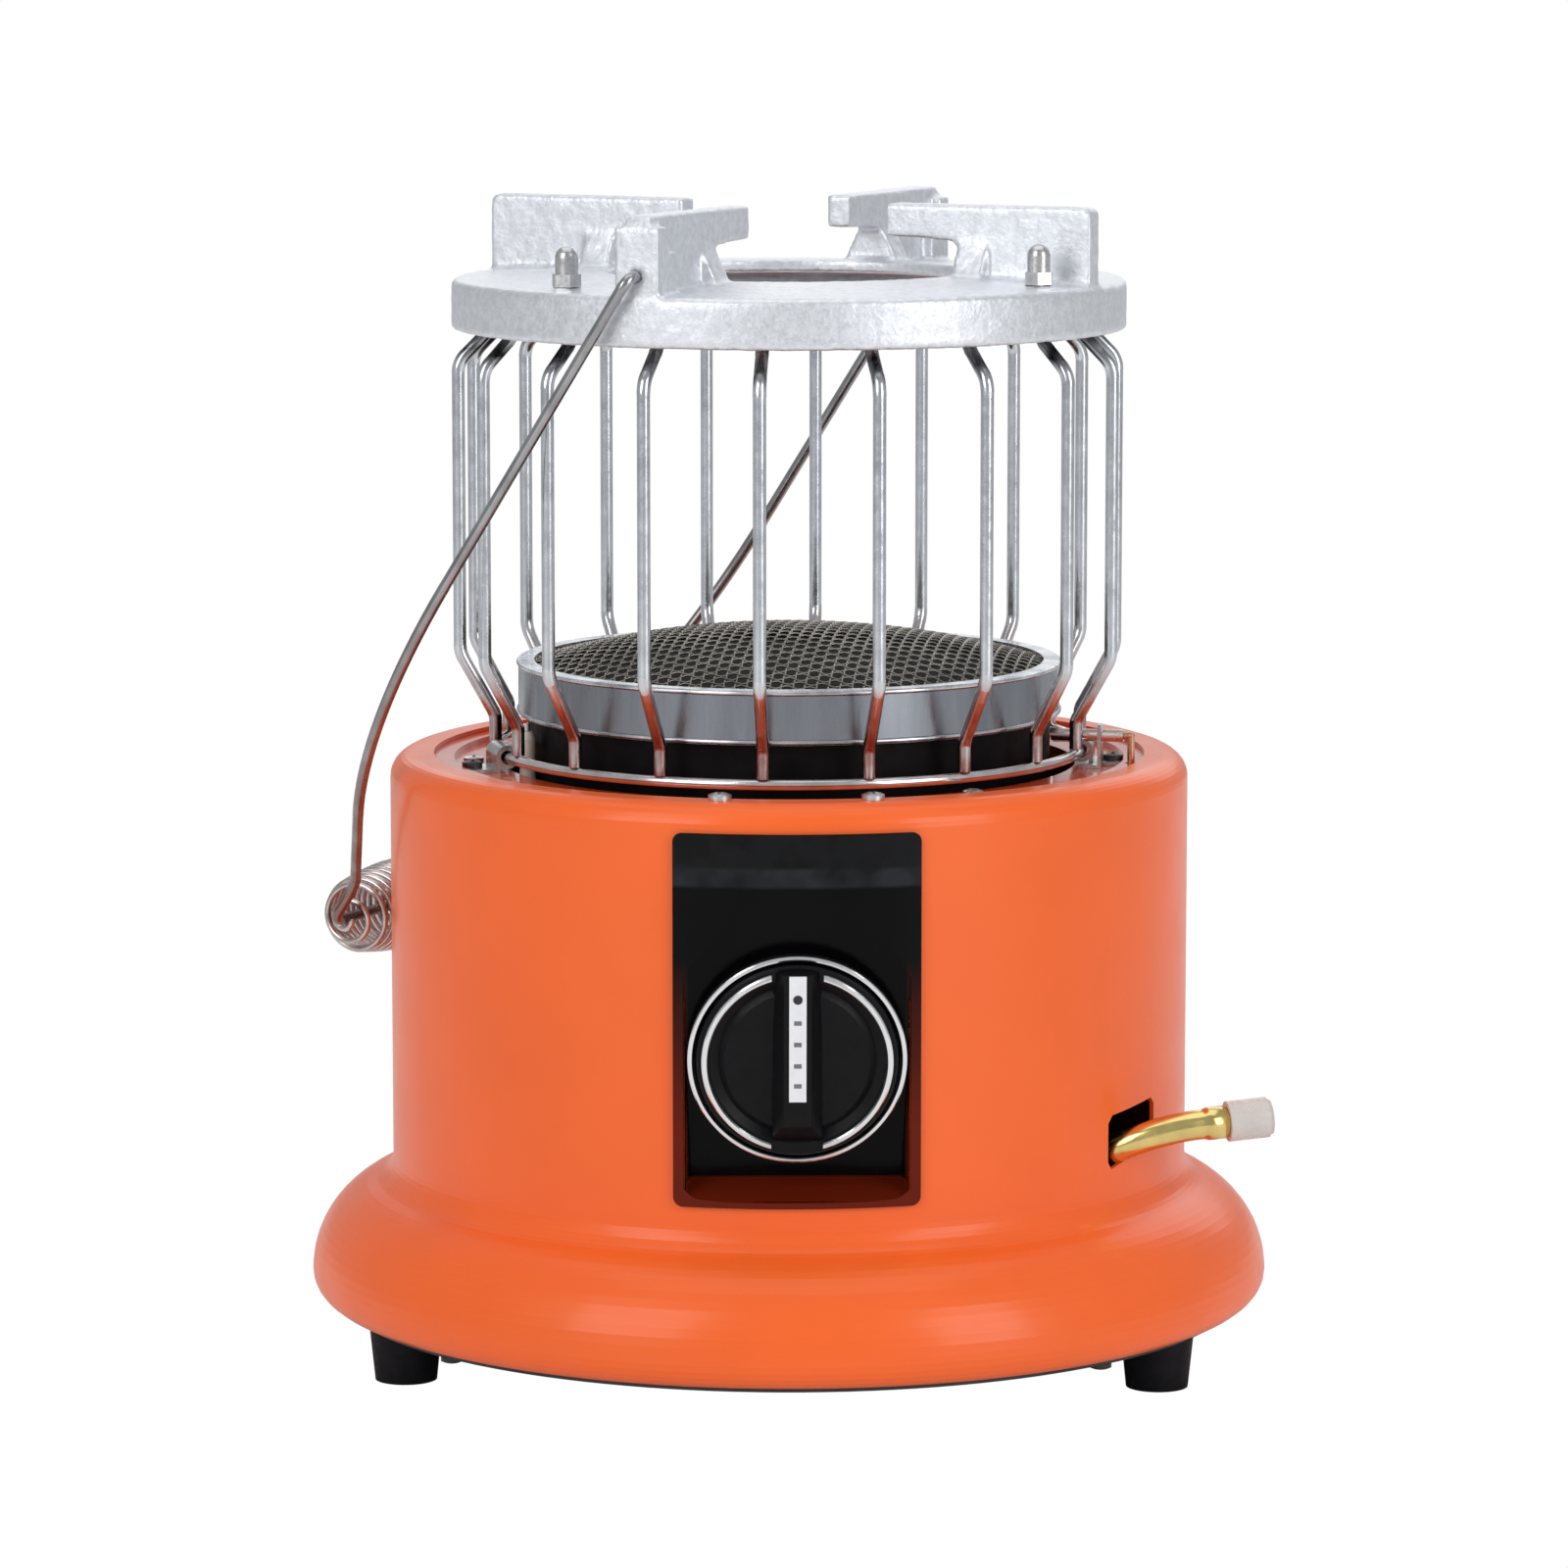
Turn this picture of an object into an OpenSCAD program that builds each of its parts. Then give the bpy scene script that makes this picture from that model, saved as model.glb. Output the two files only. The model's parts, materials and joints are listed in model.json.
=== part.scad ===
// Portable gas heater with a pan support on its wire guard and a swinging bail handle.
// Origin: on the drum's axis, at floor level. +Z is up and the control panel faces -Y.

/* [Housing] */
// Radius of the drum
drum_r = 110; // [108:0.5:112]
// Height of the drum's top edge above the floor
drum_top_z = 166; // [165:0.5:167]
// Fillet between the drum's wall and its top
drum_edge_r = 6.5; // [5:0.5:8]
// Largest radius of the skirt
skirt_r = 132.5; // [131:0.5:134]
// Height at which the skirt is widest
skirt_z = 22; // [21:0.5:23]
// Thickness of the painted sheet
sheet = 1.2; // [1:0.1:1.4]
// Turn of the base plate and its feet about the drum's axis
base_turn = -3.5; // [-5:0.5:0]

/* [Feet] */
// Height of a rubber foot
foot_h = 13.7; // [13:0.1:13.7]
// Radius of a foot at the floor
foot_floor_r = 8.4; // [8:0.1:9]
// Radius of a foot at the base plate
foot_plate_r = 9.8; // [9:0.1:10.5]

/* [Burner] */
// Outer radius of the burner cup
cup_r = 72; // [71:0.5:72.5]
// Outer radius of the bright burner rim
rim_r = 74.6; // [74.4:0.1:75]
// Height of the rim's lower edge
rim_low_z = 177; // [176:0.5:178]
// Height of the rim's upper edge
rim_top_z = 191.5; // [191:0.5:192]
// Rise of the wire cloth at its centre
mesh_rise = 10; // [8:0.5:11]

/* [Wire guard] */
// Number of upright wires
guard_count = 18; // [18]
// Radius of an upright wire
guard_wire_r = 1.75; // [1.6:0.05:1.9]
// Radius of the guard's base ring
guard_foot_r = 81; // [80.5:0.5:81.5]
// Radius at which the wires stand upright
guard_r = 90.6; // [90:0.2:91]
// Height of the base ring
guard_foot_z = 167.4; // [167.2:0.2:168]

/* [Pan support] */
// Outer radius of the cast ring
cast_r = 92.3; // [92:0.1:93]
// Radius of the opening in the cast ring
cast_hole_r = 49.5; // [48:0.5:51]
// Height of the ring's lower edge
cast_low_z = 282.7; // [282:0.1:283]
// Height of the ring's outer upper edge
cast_top_z = 296.3; // [296:0.1:297]
// Height of the pan fins
fin_top_z = 317.4; // [317:0.1:318]
// Azimuth of the first pan fin
fin_az = 63; // [60:0.5:66]

/* [Bail handle] */
// Radius of the bail wire
bail_wire_r = 1.5; // [1.4:0.05:1.55]
// Half of the distance between the bail's arms
bail_half = 96; // [95.5:0.5:97]
// Distance from the pivot to the grip
bail_reach = 224; // [222:0.5:226]
// Height of the pivot
pivot_z = 301.5; // [301:0.1:302]
// Largest radius of the coil grip, to the middle of its wire
grip_r = 12; // [11:0.5:12.5]
// Number of turns in the coil grip
grip_turns = 19; // [15:1:21]

/* [Control] */
// Width of the control bezel
bezel_w = 65; // [64:0.5:66]
// Height of the bezel's lower edge
bezel_low_z = 59.5; // [59:0.5:61]
// Height of the bezel's upper edge
bezel_top_z = 158.5; // [157:0.5:159]
// Downward tilt of the panel
panel_tilt = 10; // [8:0.5:10]
// Height of the knob's axis at the panel
knob_z = 100; // [99:0.5:101]
// Travel of the knob when it is pushed
push_travel = 4; // [3:0.5:4]

/* [Hidden] */
$fn = 64;

// Small gaps
slip = 0.05;    // between pieces that touch or run in each other
joint_swell = 0.05;                            // extra radius of a wire's bends
joint_lap = 0.5;                               // how far a straight length runs into a bend

// Housing profile
bulge_r = 26.6;                                // upper arc of the skirt
bulge_x = skirt_r - bulge_r;
under_r = 7;                                   // arc that turns the skirt under
under_x = skirt_r - under_r;
neck_r = 8;                                    // fillet between skirt and drum
neck_x = drum_r + neck_r;
neck_rise = sqrt(pow(bulge_r + neck_r, 2) - pow(neck_x - bulge_x, 2));
neck_z = skirt_z + neck_rise;
neck_a = atan2(neck_rise, neck_x - bulge_x);
edge_x = drum_r - drum_edge_r;
edge_z = drum_top_z - drum_edge_r;
lip_r = 98;                                    // inner radius of the drum's top lip
flange_r = 120;                                // inner radius of the skirt's bottom flange
shell_low_z = skirt_z - under_r;

// Deck
deck_z = 163.2;                                // top of the deck's flat floor
deck_hole_r = 79;
deck_step_r = 93;
deck_screw_r = 100.5;
bracket_az = [63, 183, 303];                   // burner brackets
bracket_screw_r = 87;
deck_screw_az = [258.5, 281.5, 78.5, 101.5];

// Base plate
plate_r = 125;
plate_z = shell_low_z - slip - sheet;
foot_ring_r = 115.5;
foot_spread = 28;
foot_az = [180 + foot_spread, -foot_spread, 180 - foot_spread, foot_spread];
base_screw_r = 122.2;

// Control panel
bezel_r = drum_r + 1.2;                        // radius of the bezel's curved face
window_w = bezel_w - 6;                        // window in the shell behind the bezel
window_low = 1.4;                              // its lower edge above the bezel's
crease_z = 146;                                // where the panel starts to recede
panel_y = -103.5;                              // panel surface at the knob's axis
panel_t = 2.4;
panel_top_w = 60;
wall_draft = 14;
knob_gap = 4.6;                                // from panel to the back of the knob
valve_front = -13;                             // depth of the valve block's front face
valve_back = -36;
jet_y = -14;                                   // the jet's axis below the knob's axis
boss_x = 21;
boss_y = 14;
face_z = knob_gap + 2.8;                        // front of the knob's disc
bar_top_z = knob_gap + 6.2;                     // front of the grip bar at the knob's edge
bar_slope = 4;                                 // rise of the bar's front towards its lower end
pointer_w = 4.6;
pointer_l = 34;
collar_r = 28.1;                               // collar that carries the dial ring
collar_z = 4.4;
piezo_x = -24;
piezo_end = -58;

// Electrode and thermocouple
spark_az = 198;
spark_r = 75.4;
thermo_az = 347.4;
thermo_z = 172.2;
lead_r = 95.4;                                 // where the lead goes down through the deck

// Gas line
nozzle_r = 4;
nozzle_bore_r = 2.6;
nozzle_path = [[78, -61, 61.5], [92.9, -66, 69.3], [104.5, -65, 72.2], [127.1, -61, 73.9]];
nozzle_out = unit(nozzle_path[3] - nozzle_path[2]);
tail_r = 4.45;                                 // swelling that holds the hose
tail_s = 3;                                    // where it starts past the last bend
tail_end_s = 11.8;
tip_r = 3.95;                                  // the end that the cap sits on
slot_az = -33.7;
slot_z = 70;
cap_l = 12;

// Burner
cup_floor_z = 140;
ledge_z = 178.4;                               // the cup's upper ledge that carries the plaque
tube_r = 11;
elbow_r = 20;
// length from the panel to the elbow, which ends on the drum's axis
tube_s = (-panel_y + (jet_y + elbow_r) * sin(panel_tilt) - elbow_r) / cos(panel_tilt);
elbow_y = panel_y - jet_y * sin(panel_tilt) + tube_s * cos(panel_tilt) - elbow_r * sin(panel_tilt);
elbow_z = knob_z + jet_y * cos(panel_tilt) + tube_s * sin(panel_tilt) + elbow_r * cos(panel_tilt);

// Guard
guard_first_az = 4;
guard_top_z = 288;
guard_head_r = 82;
stud_az = [43, 143, 223, 323];
clip_az = [194, 354, 94];
boss_low_z = 289.7;
clip_screw_r = 89.5;

// Bail
bail_rest = acos((drum_r + grip_r + 1.4) / bail_reach);  // slope below level at rest
bail_knee = 38.5;                              // half width where the arms meet the grip

// Points along an arc of radius r about c, from angle a to angle b
function arc(c, r, a, b, n = 8) =
    [for (i = [0:n]) c + r * [cos(a + (b - a) * i / n), sin(a + (b - a) * i / n)]];
function unit(v) = v / norm(v);
// Turn at corner i of a flat path, positive to the left
function turn(p, i) =
    let (a = unit(p[i] - p[i - 1]), b = unit(p[i + 1] - p[i]))
    atan2(a.x * b.y - a.y * b.x, a * b);
function trim(p, r, i) =
    i == 0 || i == len(p) - 1 ? 0 : r[i] * tan(abs(turn(p, i)) / 2);

// Round bar from one point in space to another
module bar(a, b, r) {
    v = b - a;
    translate(a) rotate([0, acos(v.z / norm(v)), atan2(v.y, v.x)]) cylinder(r = r, h = norm(v));
}
// Round bar through points in space, with a ball a trifle wider at each corner
module bar_path(pts, r) {
    for (i = [1:len(pts) - 1]) bar(pts[i - 1], pts[i], r);
    for (i = [1:len(pts) - 2]) translate(pts[i]) sphere(r = r + joint_swell);
}
// Bent wire of radius wr through the points p of the XZ plane, with bends of radius r[i].
// The straight lengths run a little way into the bends, which are a trifle wider.
module bent_wire(p, r, wr) {
    for (i = [1:len(p) - 1]) {
        d = unit(p[i] - p[i - 1]);
        a = p[i - 1] + d * (trim(p, r, i - 1) - (i > 1 ? joint_lap : 0));
        b = p[i] - d * (trim(p, r, i) - (i < len(p) - 1 ? joint_lap : 0));
        bar([a.x, 0, a.y], [b.x, 0, b.y], wr);
    }
    for (i = [1:len(p) - 2]) {
        t = turn(p, i);
        s = sign(t);
        din = unit(p[i] - p[i - 1]);
        dout = unit(p[i + 1] - p[i]);
        start = p[i] - din * trim(p, r, i);
        finish = p[i] + dout * trim(p, r, i);
        c = start + r[i] * s * [-din.y, din.x];
        from = s > 0 ? start - c : finish - c;
        translate([c.x, 0, c.y]) rotate([90, 0, 0]) rotate([0, 0, atan2(from.y, from.x)])
            rotate_extrude(angle = abs(t), $fn = 96) translate([r[i], 0])
                circle(r = wr + joint_swell, $fn = 32);
    }
}
// Ring between two radii
module ring(r1, r2, h) {
    difference() {
        cylinder(r = r2, h = h);
        translate([0, 0, -1]) cylinder(r = r1, h = h + 2);
    }
}
// Pan-head screw: the head stands on z = 0, and the shank goes down
module pan_screw(head_r, head_h, shank_r, shank_l) {
    difference() {
        union() {
            intersection() {
                cylinder(r = head_r, h = head_h);
                translate([0, 0, head_h - 2.2 * head_r]) sphere(r = 2.2 * head_r);
            }
            translate([0, 0, -shank_l]) cylinder(r = shank_r, h = shank_l + 0.1);
        }
        for (a = [0, 90]) rotate([0, 0, a])
            translate([-head_r * 0.6, -0.4, head_h * 0.45]) cube([head_r * 1.2, 0.8, head_h]);
    }
}
module at_az(a, r = 0, z = 0) {
    rotate([0, 0, a]) translate([r, 0, z]) children();
}
// Panel frame: origin where the knob's axis meets the panel, +Z out of the panel, +Y up it
module panel_frame() {
    translate([0, panel_y, knob_z]) rotate([90 + panel_tilt, 0, 0]) children();
}
// Object coordinates of a point of the panel frame
function from_panel(x, y, z) =
    [x, panel_y - y * sin(panel_tilt) - z * cos(panel_tilt),
        knob_z + y * cos(panel_tilt) - z * sin(panel_tilt)];
function at_point(a, r, z) = [r * cos(a), r * sin(a), z];
// Bail frame: X along the pivot, Z from the pivot towards the grip
module bail_frame() {
    translate([0, 0, pivot_z]) rotate([0, 0, fin_az]) rotate([-(90 + bail_rest), 0, 0]) children();
}

// ---- Housing ----
module housing_shell() {
    outer = concat(
        [[flange_r, shell_low_z]],
        arc([under_x, skirt_z], under_r, -90, 0, 6),
        arc([bulge_x, skirt_z], bulge_r, 4, neck_a, 12),
        arc([neck_x, neck_z], neck_r, 180 + neck_a - 6, 180, 6),
        arc([edge_x, edge_z], drum_edge_r, 0, 90, 8),
        [[lip_r, drum_top_z]]);
    inner = concat(
        [[lip_r, drum_top_z - sheet]],
        arc([edge_x, edge_z], drum_edge_r - sheet, 90, 0, 8),
        arc([neck_x, neck_z], neck_r + sheet, 180, 180 + neck_a - 6, 6),
        arc([bulge_x, skirt_z], bulge_r - sheet, neck_a, 4, 12),
        arc([under_x, skirt_z], under_r - sheet, 0, -90, 6),
        [[flange_r, shell_low_z + sheet]]);
    color("orangered") difference() {
        rotate_extrude($fn = 144) polygon(concat(outer, inner));
        // window behind the bezel
        translate([-window_w / 2, -drum_r - 5, bezel_low_z + window_low])
            cube([window_w, 40, bezel_top_z - bezel_low_z - window_low - 4]);
        // slot for the gas nozzle
        at_az(slot_az, drum_r, slot_z) nozzle_slot(12);
        for (a = deck_screw_az) at_az(a, deck_screw_r, 0)
            translate([0, 0, drum_top_z - 4]) cylinder(r = 1.6, h = 8);
        for (k = [0:3]) at_az(45 + 90 * k + base_turn, base_screw_r, 0)
            translate([0, 0, shell_low_z - 2]) cylinder(r = 1.6, h = 6);
    }
}
// Slanted slot with cut corners, along X
module nozzle_slot(depth) {
    translate([-depth, 0, 0]) rotate([90, 0, 90]) linear_extrude(2 * depth)
        polygon([[-12.3, -6.4], [-10.8, -8.5], [10.6, -4.2], [12.3, -2], [12.3, 6], [10.4, 7.8],
                 [-10.4, 6.2], [-12.3, 4.2]]);
}

module top_deck() {
    flange_z = drum_top_z - sheet - slip - sheet;
    drop = flange_z + sheet - deck_z;
    color("orangered") difference() {
        union() {
            translate([0, 0, flange_z]) ring(deck_step_r, edge_x - 0.6, sheet);
            translate([0, 0, deck_z - sheet]) ring(deck_step_r - 0.6, deck_step_r + 0.6, drop + sheet);
            translate([0, 0, deck_z - sheet]) ring(deck_hole_r, deck_step_r, sheet);
            translate([0, 0, deck_z - 4]) ring(deck_hole_r, deck_hole_r + sheet, 4);
        }
        for (a = deck_screw_az) at_az(a, deck_screw_r, deck_z - 4) cylinder(r = 1.5, h = 8);
        for (a = clip_az) at_az(a, clip_screw_r, deck_z - 4) cylinder(r = 1.55, h = 8);
        at_az(thermo_az, lead_r, deck_z - 8) cylinder(r = 1.7, h = 12);
        for (a = bracket_az) at_az(a, bracket_screw_r, deck_z - 4) cylinder(r = 1.55, h = 8);
    }
}

module deck_screws() {
    for (a = deck_screw_az) at_az(a, deck_screw_r, drum_top_z + slip) pan_screw(3.1, 2, 1.45, 8);
}

module base_plate() {
    color("dimgray") difference() {
        translate([0, 0, plate_z]) cylinder(r = plate_r, h = sheet, $fn = 128);
        for (a = foot_az) at_az(a + base_turn, foot_ring_r, plate_z - 1) cylinder(r = 2.1, h = 5);
        for (k = [0:3]) at_az(45 + 90 * k + base_turn, base_screw_r, plate_z - 1)
            cylinder(r = 1.6, h = 4);
        // air holes
        for (k = [0:11]) at_az(30 * k, 62, plate_z - 1) cylinder(r = 7, h = 4);
        translate([0, 0, plate_z - 1]) cylinder(r = 12, h = 4);
    }
}
module base_screws() {
    for (k = [0:3]) at_az(45 + 90 * k + base_turn, base_screw_r, plate_z - slip)
        mirror([0, 0, 1]) pan_screw(3, 1.9, 1.45, 7);
}

module foot(i) {
    color("black") at_az(foot_az[i] + base_turn, foot_ring_r, 0) difference() {
        cylinder(r1 = foot_floor_r, r2 = foot_plate_r, h = foot_h);
        translate([0, 0, -1]) cylinder(r = 4.2, h = 8);
        cylinder(r = 2.1, h = foot_h + 1);
    }
}
module foot_front_left() { foot(0); }
module foot_front_right() { foot(1); }
module foot_rear_left() { foot(2); }
module foot_rear_right() { foot(3); }
module foot_screws() {
    color("silver") for (a = foot_az) at_az(a + base_turn, foot_ring_r, 7 - slip)
        mirror([0, 0, 1]) pan_screw(3.8, 2.4, 2, 14);
}
module foot_nuts() {
    color("silver") for (a = foot_az) at_az(a + base_turn, foot_ring_r, plate_z + sheet + slip)
        difference() {
            cylinder(r = 4, h = 3, $fn = 6);
            translate([0, 0, -1]) cylinder(r = 2 + slip, h = 5);
        }
}

// ---- Control panel ----
// Rectangle with rounded lower corners, standing on y = 0
module panel_outline(w, h, r) {
    translate([-w / 2, r]) square([w, h - r]);
    translate([-w / 2 + r, 0]) square([w - 2 * r, h]);
    for (s = [-1, 1]) translate([s * (w / 2 - r), r]) circle(r = r, $fn = 48);
}
// Space in front of the receding panel, grown by g
module recess(g) {
    k = tan(panel_tilt);
    function depth_y(z) = panel_y - (z - knob_z) * k;
    low = 65 - g;
    top = crease_z + g * 0.4;
    front = -drum_r - 12;
    intersection() {
        // side view: crease, panel, lower ledge
        rotate([90, 0, 90]) translate([0, 0, -50]) linear_extrude(100)
            polygon([[front, top + 1], [depth_y(top) + g * 0.4, top], [depth_y(low) + g, low],
                     [-drum_r - 1, bezel_low_z + 1.2 - g], [front, bezel_low_z - g]]);
        // plan view: side walls that draw in with depth
        translate([0, 0, 40]) linear_extrude(130)
            polygon([[-panel_top_w / 2 - g - 2, front], [panel_top_w / 2 + g + 2, front],
                     [panel_top_w / 2 + g, -drum_r + 2], [panel_top_w / 2 + g - 5.4, -84],
                     [-panel_top_w / 2 - g + 5.4, -84], [-panel_top_w / 2 - g, -drum_r + 2]]);
        // front view: rounded lower corners
        translate([0, -60, bezel_low_z + 1.6 - g]) rotate([90, 0, 0]) linear_extrude(80)
            panel_outline(panel_top_w + 2 * g + 4, 100, 9 + g);
    }
}
module control_bezel() {
    h = bezel_top_z - bezel_low_z;
    color([0.05, 0.05, 0.05]) difference() {
        union() {
            intersection() {
                union() {
                    // flange that lies on the shell
                    difference() {
                        translate([0, -80, bezel_low_z]) rotate([90, 0, 0]) linear_extrude(60)
                            rounded_rect(bezel_w, h, 2.5);
                        cylinder(r = drum_r + slip, h = 200, $fn = 180);
                    }
                    // frame and tray that fill the window
                    intersection() {
                        translate([-window_w / 2 + 0.3, -bezel_r - 5, bezel_low_z + window_low + 0.3])
                            cube([window_w - 0.6, 40, h - window_low - 4.6]);
                        union() {
                            recess(2.2);
                            difference() {
                                translate([-50, -bezel_r - 10, 0]) cube([100, 60, 200]);
                                translate([0, 0, -1]) cylinder(r = drum_r - 4, h = 202, $fn = 180);
                            }
                        }
                    }
                }
                cylinder(r = bezel_r, h = 200, $fn = 180);
            }
            // bosses for the valve bracket
            panel_frame() for (x = [-1, 1], y = [-1, 1])
                translate([x * boss_x, y * boss_y, valve_front + 1.2 + slip])
                    cylinder(r = 3.2, h = -valve_front - 2.2, $fn = 32);
        }
        difference() {
            recess(0);
            // collar around the knob
            panel_frame() translate([0, 0, -1]) ring(26.9, collar_r, collar_z + 1);
        }
        panel_frame() {
            translate([0, 0, -12]) cylinder(r = 10.5, h = 20);
            for (x = [-1, 1], y = [-1, 1]) translate([x * boss_x, y * boss_y, -14])
                cylinder(r = 1.25, h = 10, $fn = 32);
        }
    }
}
module rounded_rect(w, h, r) {
    translate([-w / 2 + r, 0]) square([w - 2 * r, h]);
    translate([-w / 2, r]) square([w, h - 2 * r]);
    for (x = [-1, 1], y = [0, 1]) translate([x * (w / 2 - r), r + y * (h - 2 * r)])
        circle(r = r, $fn = 32);
}
module dial_ring() {
    color("silver") panel_frame() translate([0, 0, collar_z + slip]) rotate_extrude($fn = 96)
        polygon(concat([[27.2, 0], [28.8, 0], [28.8, 1.6]], arc([28, 1.6], 0.8, 0, 180, 6)));
}
module valve_bracket() {
    color("silver") panel_frame() difference() {
        translate([-27, -18, valve_front + slip]) cube([54, 36, 1.1]);
        translate([0, 0, valve_front - 1]) cylinder(r = 9.2, h = 4);
        for (x = [-1, 1], y = [-1, 1]) translate([x * boss_x, y * boss_y, valve_front - 1])
            cylinder(r = 1.6, h = 4, $fn = 32);
        for (x = [-1, 1]) translate([x * 12.5, 7, valve_front - 1])
            cylinder(r = 1.6, h = 4, $fn = 32);
    }
}
module bracket_screws() {
    color("silver") panel_frame() for (x = [-1, 1], y = [-1, 1])
        translate([x * boss_x, y * boss_y, valve_front - slip]) mirror([0, 0, 1])
            pan_screw(2.7, 1.8, 1.2, 8);
}
module valve_screws() {
    color("silver") panel_frame() for (x = [-1, 1])
        translate([x * 12.5, 7, valve_front + 1.2 + slip]) pan_screw(2.7, 1.8, 1.4, 9);
}
module gas_valve_body() {
    color("lightgray") panel_frame() difference() {
        union() {
            translate([-17, -21, valve_back]) cube([34, 33, valve_front - valve_back]);
            translate([0, 0, valve_front - 1]) cylinder(r = 9, h = 9);
            translate([16, -4, -26]) rotate([0, 90, 0]) cylinder(r = 6, h = 6);
            translate([0, jet_y, valve_back - 4]) cylinder(r = 5.5, h = 6);
        }
        // plug chamber, spindle bearing, inlet and outlet passages
        translate([0, 0, valve_back - 1]) cylinder(r = 6 + slip, h = valve_front - valve_back + 1);
        translate([0, 0, valve_front - 1]) cylinder(r = 4 + slip, h = 12);
        translate([1, -3, -26]) rotate([0, 90, 0]) cylinder(r = 2.2, h = 22, $fn = 32);
        translate([0, jet_y, valve_back - 5]) cylinder(r = 2.45, h = 17, $fn = 32);
        translate([0, jet_y - 1, valve_back + 9]) rotate([-90, 0, 0]) cylinder(r = 1.6, h = 12, $fn = 32);
        for (x = [-1, 1]) translate([x * 12.5, 7, valve_front - 11])
            cylinder(r = 1.45, h = 12, $fn = 32);
    }
}
module valve_cover() {
    color("goldenrod") panel_frame() translate([0, 0, valve_back - 2 - slip]) cylinder(r = 7.8, h = 2);
}
// Round shaft with one flat
module d_shaft(r, flat, h) {
    difference() {
        cylinder(r = r, h = h);
        translate([flat, -r - 1, -1]) cube([r, 2 * r + 2, h + 2]);
    }
}
module valve_plug() {
    color("goldenrod") panel_frame() difference() {
        translate([0, 0, valve_back + 0.2]) cylinder(r = 6, h = valve_front - valve_back - 0.6);
        translate([0, 0, -25]) d_shaft(4 + slip, 3.2 + slip, 14);
        translate([0, 0, -27]) rotate([90, 0, 0]) cylinder(r = 1.6, h = 8, $fn = 32);
    }
}
module knob_spindle() {
    color("silver") panel_frame() union() {
        translate([0, 0, -20]) d_shaft(4, 3.2, 11.7);
        translate([0, 0, -8.4]) cylinder(r = 4, h = knob_gap + 7.8);
        translate([0, 0, knob_gap - 0.7]) d_shaft(4, 3.2, 6.4);
    }
}
// Compression spring between the valve's neck and the knob
module knob_return_spring() {
    coil_r = 6.1;
    wire_r = 0.5;
    turns = 4;
    steps = 16;
    low = -5 + wire_r + 0.15;
    high = knob_gap - wire_r - 0.15;
    color("silver") panel_frame() coil(
        [for (i = [0:turns * steps]) let (a = 360 * i / steps, u = i / (turns * steps))
            [coil_r * cos(a), coil_r * sin(a), low + (high - low) * u]], wire_r, 6);
}
// Closed tube of n sides about a path
module coil(path, r, n) {
    m = len(path);
    function way(i) = unit(path[min(i + 1, m - 1)] - path[max(i - 1, 0)]);
    function side(i) = let (w = way(i), q = [path[i].x, path[i].y, 0]) unit(q - (q * w) * w);
    pts = [for (i = [0:m - 1]) let (w = way(i), s = side(i), b = cross(w, s))
        for (k = [0:n - 1]) path[i] + r * (cos(360 * k / n) * s + sin(360 * k / n) * b)];
    faces = concat(
        [[for (k = [0:n - 1]) k]],
        [[for (k = [n - 1:-1:0]) (m - 1) * n + k]],
        [for (i = [0:m - 2]) for (k = [0:n - 1]) let (j = (k + 1) % n)
            each [[i * n + k, (i + 1) * n + k, i * n + j],
                  [i * n + j, (i + 1) * n + k, (i + 1) * n + j]]]);
    polyhedron(pts, faces);
}
// Frame of the grip bar's front: origin at its upper end, +Y up the bar, +Z out of it
module bar_front() {
    translate([0, 25.2, bar_top_z]) rotate([-bar_slope, 0, 0]) children();
}
module knob_body() {
    z = knob_gap;
    color([0.07, 0.07, 0.07]) panel_frame() difference() {
        union() {
            rotate_extrude($fn = 96) difference() {
                polygon([[0, z], [26.4, z], [26.4, z + 2.2], [25.8, z + 2.8], [22.8, z + 2.8],
                         [20.6, z + 1.6], [19, face_z], [0, face_z]]);
                translate([9, z - 1]) square([11, 2]);
            }
            // grip bar across the knob
            intersection() {
                translate([0, 0, z]) cylinder(r = 25.2, h = 14, $fn = 96);
                bar_front() rotate([90, 0, 0]) translate([0, 0, -1]) linear_extrude(53)
                    polygon([[-6.6, -8], [6.6, -8], [6.4, -4.6], [3.6, 0], [-3.6, 0], [-6.4, -4.6]]);
                // side view, with a slanting lower end
                rotate([90, 0, 90]) translate([0, 0, -8]) linear_extrude(16)
                    polygon([[26, z + 0.6], [26, z + 14], [-11, z + 14], [-22.6, face_z - 0.5],
                             [-22.6, z + 0.6]]);
            }
        }
        translate([0, 0, z - 1]) d_shaft(4 + slip, 3.2 + slip, 7);
        bar_front() translate([-pointer_w / 2, -pointer_l - 0.4, -0.6]) cube([pointer_w, pointer_l, 3]);
    }
}
module knob_trim_ring() {
    color("silver") panel_frame() difference() {
        translate([0, 0, knob_gap + 2.8 + slip]) rotate_extrude($fn = 96)
            polygon(concat([[23.2, 0], [25.2, 0], [25.2, 0.6]], arc([24.2, 0.6], 1, 0, 180, 6)));
        translate([-6.8, -30, 0]) cube([13.6, 60, 40]);
    }
}
module knob_pointer() {
    color("white") panel_frame() bar_front()
        translate([-pointer_w / 2 + slip, slip - pointer_l - 0.4, slip - 0.6])
            cube([pointer_w - 2 * slip, pointer_l - 2 * slip, 0.8]);
}

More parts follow.
